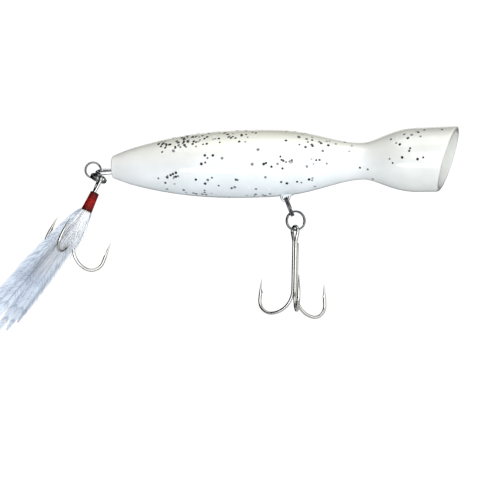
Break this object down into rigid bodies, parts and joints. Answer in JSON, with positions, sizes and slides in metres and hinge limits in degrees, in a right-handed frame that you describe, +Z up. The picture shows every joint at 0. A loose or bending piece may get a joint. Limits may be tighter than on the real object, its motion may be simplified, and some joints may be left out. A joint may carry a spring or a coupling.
{
  "type": "topwater popper",
  "caption": "Hollow surface fishing lure with a cupped face, a hanging belly treble and a feather-dressed tail treble on split rings.",
  "frame": {"origin": "centre of the line tie, the wire eye in the cupped face", "axes": "+X forward along the through wire, +Z up, +Y to the lure's left"},
  "size_m": [0.203, 0.0409, 0.0851],
  "materials": {
    "white_plastic": "moulded shell under a clear gloss coat with dark and silver flakes",
    "steel_wire": "drawn stainless wire",
    "lead": "dull cast weight",
    "steel_ball": "polished ball",
    "nickel_ring": "bright nickel plate",
    "nickel_hook": "bright nickel plate, faintly golden",
    "braze": "silver braze under nickel",
    "red_thread": "varnished thread winding",
    "white_hair": "soft white hair",
    "white_feather": "soft white hackle feathers"
  },
  "bodies": {
    "lure_body": {"shell_left": "white_plastic", "shell_right": "white_plastic", "through_wire": "steel_wire", "belly_hanger": "steel_wire", "tail_weight": "lead", "belly_weight": "lead"},
    "rear_rattle": {"rattle_ball_rear": "steel_ball"},
    "front_rattle": {"rattle_ball_front": "steel_ball"},
    "head_rattle": {"rattle_ball_head": "steel_ball"},
    "belly_upper_link": {"belly_ring_upper": "nickel_ring"},
    "belly_lower_link": {"belly_ring_lower": "nickel_ring"},
    "belly_treble": {"belly_hook_double": "nickel_hook", "belly_hook_third": "nickel_hook", "belly_hook_braze": "braze"},
    "tail_front_link": {"tail_ring_front": "nickel_ring"},
    "tail_rear_link": {"tail_ring_rear": "nickel_ring"},
    "tail_treble": {"tail_hook_double": "nickel_hook", "tail_hook_third": "nickel_hook", "tail_hook_braze": "braze", "thread_collar": "red_thread", "hair_bundle": "white_hair", "hackle_feathers": "white_feather"}
  },
  "joints": [
    {"name": "rear_rattle_slide", "type": "slide", "parent": "lure_body", "child": "rear_rattle", "axis": [1, 0, 0], "range_m": [0, 0.0078]},
    {"name": "front_rattle_slide", "type": "slide", "parent": "lure_body", "child": "front_rattle", "axis": [1, 0, 0], "range_m": [0, 0.0058]},
    {"name": "head_rattle_slide", "type": "slide", "parent": "lure_body", "child": "head_rattle", "axis": [1, 0, 0], "range_m": [0, 0.0034]},
    {"name": "belly_upper_ring_swing", "type": "hinge", "parent": "lure_body", "child": "belly_upper_link", "pos_m": [-0.06384, 0, -0.01408], "axis": [0.9281, 0.147, 0.342], "range_deg": [-25, 25]},
    {"name": "belly_lower_ring_swing", "type": "hinge", "parent": "belly_upper_link", "child": "belly_lower_link", "pos_m": [-0.06156, 0.00036, -0.02044], "axis": [-0.1564, 0.9877, 0], "range_deg": [-30, 35]},
    {"name": "belly_hook_swing", "type": "hinge", "parent": "belly_lower_link", "child": "belly_treble", "pos_m": [-0.0604, 0.001, -0.02671], "axis": [0.8746, 0.4848, 0], "range_deg": [-45, 40]},
    {"name": "tail_front_ring_swing", "type": "hinge", "parent": "lure_body", "child": "tail_front_link", "pos_m": [-0.14633, 0, 0], "axis": [0, 0.9511, 0.309], "range_deg": [-8, 25]},
    {"name": "tail_rear_ring_swing", "type": "hinge", "parent": "tail_front_link", "child": "tail_rear_link", "pos_m": [-0.14617, 0.00002, -0.00186], "axis": [0.8236, 0.1304, 0.5519], "range_deg": [-25, 2]},
    {"name": "tail_hook_swing", "type": "hinge", "parent": "tail_rear_link", "child": "tail_treble", "pos_m": [-0.14404, -0.00422, -0.00404], "axis": [0.7951, 0.5406, -0.275], "range_deg": [-45, 35]}
  ]
}
